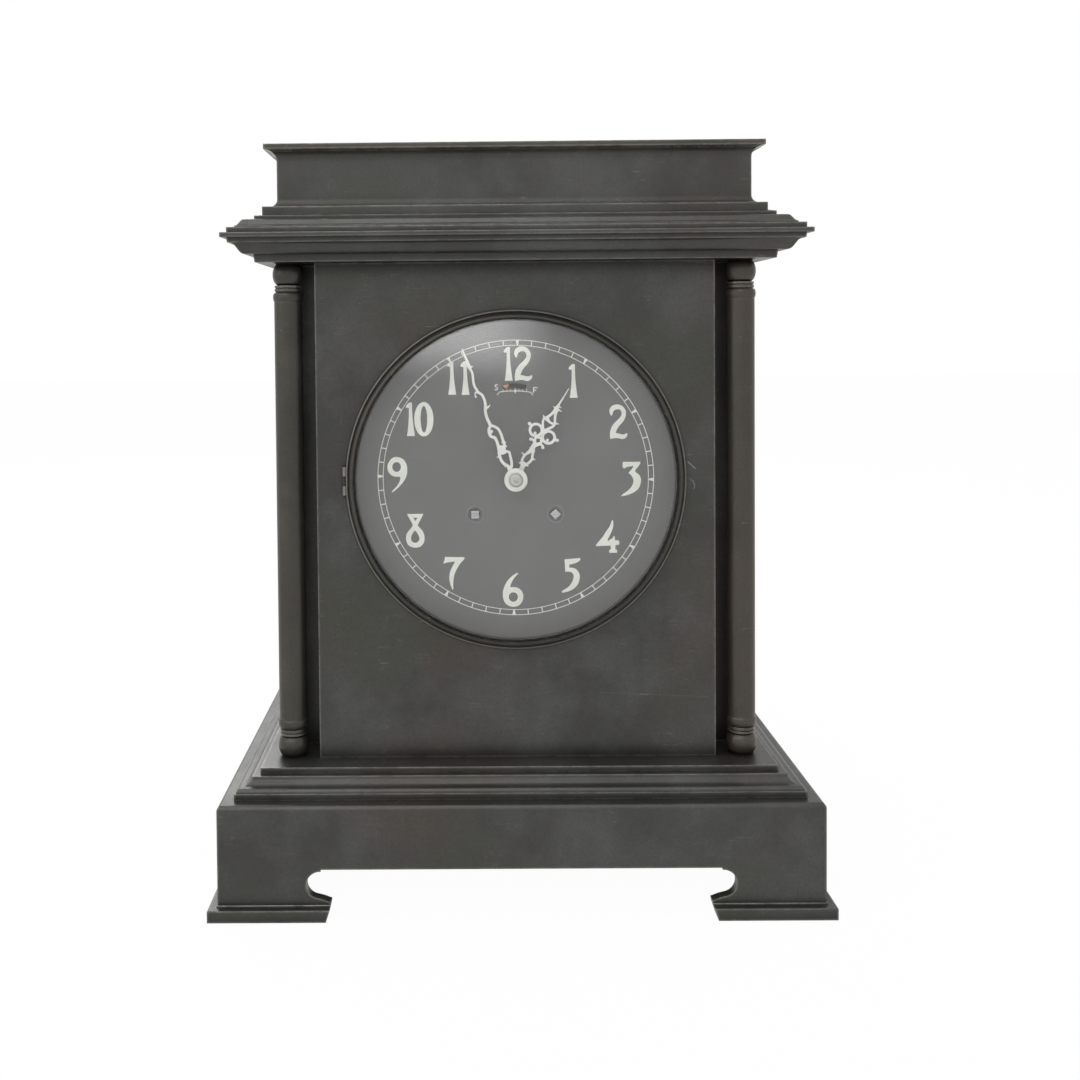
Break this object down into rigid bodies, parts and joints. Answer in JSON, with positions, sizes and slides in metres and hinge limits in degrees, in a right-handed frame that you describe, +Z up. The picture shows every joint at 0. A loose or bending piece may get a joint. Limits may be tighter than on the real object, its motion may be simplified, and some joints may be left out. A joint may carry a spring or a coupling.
{
  "type": "shelf clock",
  "caption": "Bronze-cased empire style shelf clock with two columns, stepped base and cornice, hinged glazed bezel, and a spring-driven striking movement with a balance.",
  "frame": {"origin": "middle of the bounding box, on the plane the feet stand on", "axes": "+Z up, the dial faces -Y, +X to the right as seen from the front"},
  "size_m": [0.283, 0.1942, 0.3521],
  "materials": {
    "case_bronze": "cast bronze with a dark brown-grey patina, worn bright along its edges",
    "movement_brass": "polished brass sheet, slightly dulled",
    "movement_steel": "bright steel",
    "blued_steel": "hardened steel, blued",
    "dial_black": "satin black dial with silvered marks",
    "hand_silver": "silvered, pierced hands",
    "pointer_copper": "copper-coloured metal",
    "dome_glass": "clear domed glass",
    "black_iron": "cast iron, japanned black"
  },
  "bodies": {
    "case": {"plinth": "case_bronze", "foot_front_left": "case_bronze", "foot_front_right": "case_bronze", "feet_back": "case_bronze", "base_moulding": "case_bronze", "deck_plate": "case_bronze", "front_panel": "case_bronze", "side_wall_left": "case_bronze", "side_wall_right": "case_bronze", "back_panel": "case_bronze", "column_left": "case_bronze", "column_right": "case_bronze", "cornice": "case_bronze", "top_block": "case_bronze", "top_cap": "case_bronze", "tie_rods": "movement_steel", "bezel_hinge": "case_bronze", "rear_hinge": "movement_brass", "movement_seat": "movement_brass", "dial_plate": "dial_black", "front_plate": "movement_brass", "back_plate": "movement_brass", "pillars": "movement_brass", "hairspring": "blued_steel", "balance_cock": "movement_brass", "gong": "blued_steel", "gong_stand": "black_iron"},
    "bezel": {"bezel_ring": "case_bronze", "bezel_glass": "dome_glass", "glass_retainer": "black_iron"},
    "rear_door": {"rear_door": "movement_brass", "rear_door_knob": "movement_brass"},
    "minute_hand": {"minute_hand": "hand_silver", "cannon_pinion": "movement_steel"},
    "minute_wheel": {"minute_wheel": "movement_brass"},
    "hour_hand": {"hour_hand": "hand_silver", "hour_wheel": "movement_brass"},
    "time_barrel": {"time_barrel": "movement_brass", "time_mainspring": "blued_steel"},
    "strike_barrel": {"strike_barrel": "movement_brass", "strike_mainspring": "blued_steel"},
    "time_winding_arbor": {"time_winding_arbor": "movement_steel"},
    "time_click": {"time_click": "movement_steel"},
    "strike_winding_arbor": {"strike_winding_arbor": "movement_steel"},
    "strike_click": {"strike_click": "movement_steel"},
    "second_wheel": {"second_wheel": "movement_brass"},
    "centre_wheel": {"centre_wheel": "movement_brass"},
    "third_wheel": {"third_wheel": "movement_brass"},
    "fourth_wheel": {"fourth_wheel": "movement_brass"},
    "escape_wheel": {"escape_wheel": "movement_brass"},
    "pallet_lever": {"pallet_lever": "movement_steel"},
    "balance": {"balance": "movement_brass"},
    "regulator": {"regulator": "pointer_copper"},
    "pin_wheel": {"pin_wheel": "movement_brass"},
    "locking_wheel": {"locking_wheel": "movement_brass"},
    "warning_wheel": {"warning_wheel": "movement_brass"},
    "fly": {"fly": "movement_brass"},
    "rack": {"rack": "movement_steel"},
    "rack_hook": {"rack_hook": "movement_steel"},
    "hammer": {"hammer": "movement_steel"}
  },
  "joints": [
    {"name": "bezel_hinge_turn", "type": "hinge", "parent": "case", "child": "bezel", "pos_m": [-0.08085, -0.06425, 0.1946], "axis": [0, 0, -1], "range_deg": [0, 110]},
    {"name": "rear_door_turn", "type": "hinge", "parent": "case", "child": "rear_door", "pos_m": [-0.0765, 0.0887, 0.1799], "axis": [0, 0, 1], "range_deg": [0, 115]},
    {"name": "minute_hand_turn", "type": "hinge", "parent": "case", "child": "minute_hand", "pos_m": [0, -0.0581, 0.1946], "axis": [0, -1, 0], "continuous": true},
    {"name": "minute_wheel_turn", "type": "hinge", "parent": "case", "child": "minute_wheel", "pos_m": [-0.012, -0.0461, 0.1946], "axis": [0, -1, 0], "continuous": true},
    {"name": "hour_hand_turn", "type": "hinge", "parent": "case", "child": "hour_hand", "pos_m": [0, -0.0551, 0.1946], "axis": [0, -1, 0], "continuous": true},
    {"name": "time_barrel_turn", "type": "hinge", "parent": "case", "child": "time_barrel", "pos_m": [0.0192, -0.0281, 0.1769], "axis": [0, -1, 0], "continuous": true},
    {"name": "time_winding_turn", "type": "hinge", "parent": "case", "child": "time_winding_arbor", "pos_m": [0.0192, -0.0401, 0.1769], "axis": [0, -1, 0], "continuous": true},
    {"name": "time_click_turn", "type": "hinge", "parent": "case", "child": "time_click", "pos_m": [0.0316, -0.0425, 0.1769], "axis": [0, -1, 0], "range_deg": [0, 10]},
    {"name": "strike_barrel_turn", "type": "hinge", "parent": "case", "child": "strike_barrel", "pos_m": [-0.0192, -0.0281, 0.1769], "axis": [0, -1, 0], "continuous": true},
    {"name": "strike_winding_turn", "type": "hinge", "parent": "case", "child": "strike_winding_arbor", "pos_m": [-0.0192, -0.0401, 0.1769], "axis": [0, -1, 0], "continuous": true},
    {"name": "strike_click_turn", "type": "hinge", "parent": "case", "child": "strike_click", "pos_m": [-0.0316, -0.0425, 0.1769], "axis": [0, -1, 0], "range_deg": [0, 10]},
    {"name": "second_wheel_turn", "type": "hinge", "parent": "case", "child": "second_wheel", "pos_m": [0.01376, -0.0231, 0.19718], "axis": [0, -1, 0], "continuous": true},
    {"name": "centre_wheel_turn", "type": "hinge", "parent": "case", "child": "centre_wheel", "pos_m": [0, -0.0231, 0.1946], "axis": [0, -1, 0], "continuous": true},
    {"name": "third_wheel_turn", "type": "hinge", "parent": "case", "child": "third_wheel", "pos_m": [0.00354, -0.0231, 0.20781], "axis": [0, -1, 0], "continuous": true},
    {"name": "fourth_wheel_turn", "type": "hinge", "parent": "case", "child": "fourth_wheel", "pos_m": [-0.00706, -0.0231, 0.21393], "axis": [0, -1, 0], "continuous": true},
    {"name": "escape_wheel_turn", "type": "hinge", "parent": "case", "child": "escape_wheel", "pos_m": [-0.00219, -0.0181, 0.22437], "axis": [0, -1, 0], "continuous": true},
    {"name": "pallet_lever_rock", "type": "hinge", "parent": "case", "child": "pallet_lever", "pos_m": [0.006, -0.0061, 0.2291], "axis": [0, -1, 0], "range_deg": [-4, 4]},
    {"name": "balance_swing", "type": "hinge", "parent": "case", "child": "balance", "pos_m": [0, 0.0019, 0.2221], "axis": [0, -1, 0], "range_deg": [-135, 135]},
    {"name": "regulator_turn", "type": "hinge", "parent": "case", "child": "regulator", "pos_m": [0, 0.0079, 0.2221], "axis": [0, -1, 0], "range_deg": [-30, 2]},
    {"name": "pin_wheel_turn", "type": "hinge", "parent": "case", "child": "pin_wheel", "pos_m": [-0.01376, -0.0231, 0.19718], "axis": [0, -1, 0], "continuous": true},
    {"name": "locking_wheel_turn", "type": "hinge", "parent": "case", "child": "locking_wheel", "pos_m": [-0.01996, -0.0231, 0.20792], "axis": [0, -1, 0], "continuous": true},
    {"name": "warning_wheel_turn", "type": "hinge", "parent": "case", "child": "warning_wheel", "pos_m": [-0.02368, -0.0231, 0.21815], "axis": [0, -1, 0], "continuous": true},
    {"name": "fly_turn", "type": "hinge", "parent": "case", "child": "fly", "pos_m": [-0.01734, -0.0231, 0.22448], "axis": [0, -1, 0], "continuous": true},
    {"name": "rack_turn", "type": "hinge", "parent": "case", "child": "rack", "pos_m": [-0.0305, -0.0451, 0.1916], "axis": [0, -1, 0], "range_deg": [0, 9]},
    {"name": "rack_hook_turn", "type": "hinge", "parent": "case", "child": "rack_hook", "pos_m": [-0.037, -0.0425, 0.2186], "axis": [0, -1, 0], "range_deg": [0, 12]},
    {"name": "hammer_turn", "type": "hinge", "parent": "case", "child": "hammer", "pos_m": [-0.034, -0.0061, 0.1926], "axis": [0, -1, 0], "range_deg": [-18, 0]}
  ],
  "couplings": [
    {"joint": "centre_wheel_turn", "follows": "third_wheel_turn", "ratio": -0.125},
    {"joint": "second_wheel_turn", "follows": "third_wheel_turn", "ratio": 0.020833},
    {"joint": "time_barrel_turn", "follows": "third_wheel_turn", "ratio": -0.0034722},
    {"joint": "fourth_wheel_turn", "follows": "third_wheel_turn", "ratio": -7.5},
    {"joint": "escape_wheel_turn", "follows": "third_wheel_turn", "ratio": 60},
    {"joint": "pin_wheel_turn", "follows": "locking_wheel_turn", "ratio": -0.14815},
    {"joint": "strike_barrel_turn", "follows": "locking_wheel_turn", "ratio": 0.024691},
    {"joint": "warning_wheel_turn", "follows": "locking_wheel_turn", "ratio": -7},
    {"joint": "fly_turn", "follows": "locking_wheel_turn", "ratio": 42},
    {"joint": "minute_wheel_turn", "follows": "minute_hand_turn", "ratio": -0.33333},
    {"joint": "hour_hand_turn", "follows": "minute_hand_turn", "ratio": 0.083333}
  ]
}
